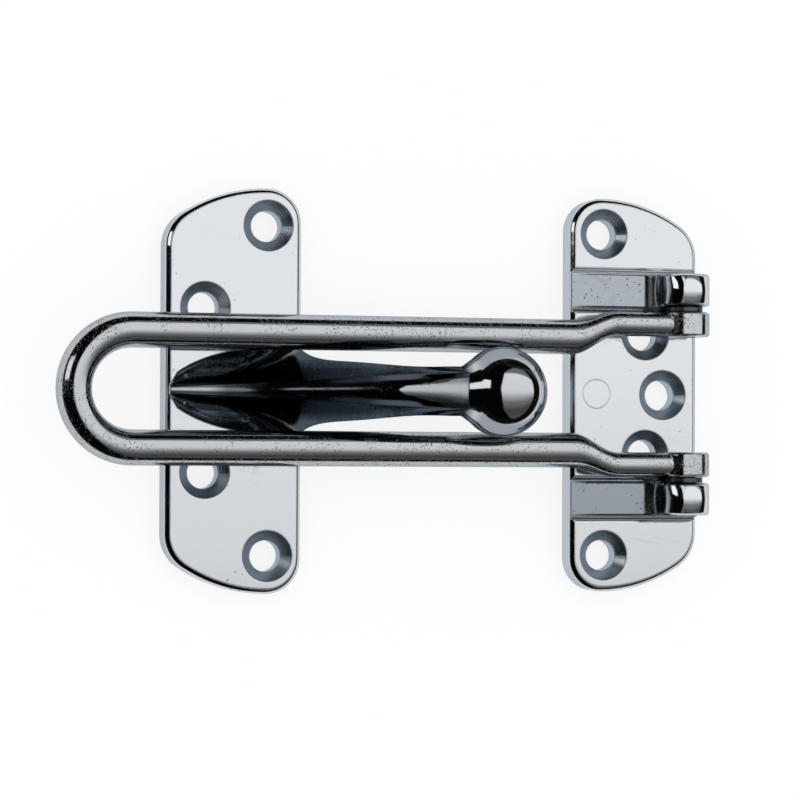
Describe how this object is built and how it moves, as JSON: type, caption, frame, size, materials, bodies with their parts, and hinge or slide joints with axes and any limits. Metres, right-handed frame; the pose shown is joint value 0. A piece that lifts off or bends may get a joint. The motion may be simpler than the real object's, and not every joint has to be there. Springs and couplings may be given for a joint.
{
  "type": "door restrictor",
  "caption": "Polished door restrictor: a U-shaped bar swings on a hinge plate and slides over the ball on a second plate.",
  "frame": {"origin": "centre of the hinge plate's back face", "axes": "+X from the ball plate towards the hinge plate along the bar, +Y along the plates' height, +Z out of the plates' faces"},
  "size_m": [0.1174, 0.07, 0.0234],
  "materials": {
    "plate_chrome": "polished chrome on a zinc casting",
    "bar_chrome": "polished chrome on steel rod",
    "pin_steel": "plain turned steel"
  },
  "bodies": {
    "hinge_side": {"hinge_plate": "plate_chrome", "upper_pivot_pin": "pin_steel", "lower_pivot_pin": "pin_steel", "upper_washer": "pin_steel", "lower_washer": "pin_steel"},
    "bar": {"swing_bar": "bar_chrome"},
    "ball_side": {"ball_plate": "plate_chrome"}
  },
  "joints": [
    {"name": "bar_swing", "type": "hinge", "parent": "hinge_side", "child": "bar", "pos_m": [0.0076, 0, 0.0095], "axis": [0, 1, 0], "range_deg": [0, 165]},
    {"name": "ball_slide", "type": "slide", "parent": "bar", "child": "ball_side", "axis": [1, 0, 0], "range_m": [-0.024, 0.022]}
  ]
}
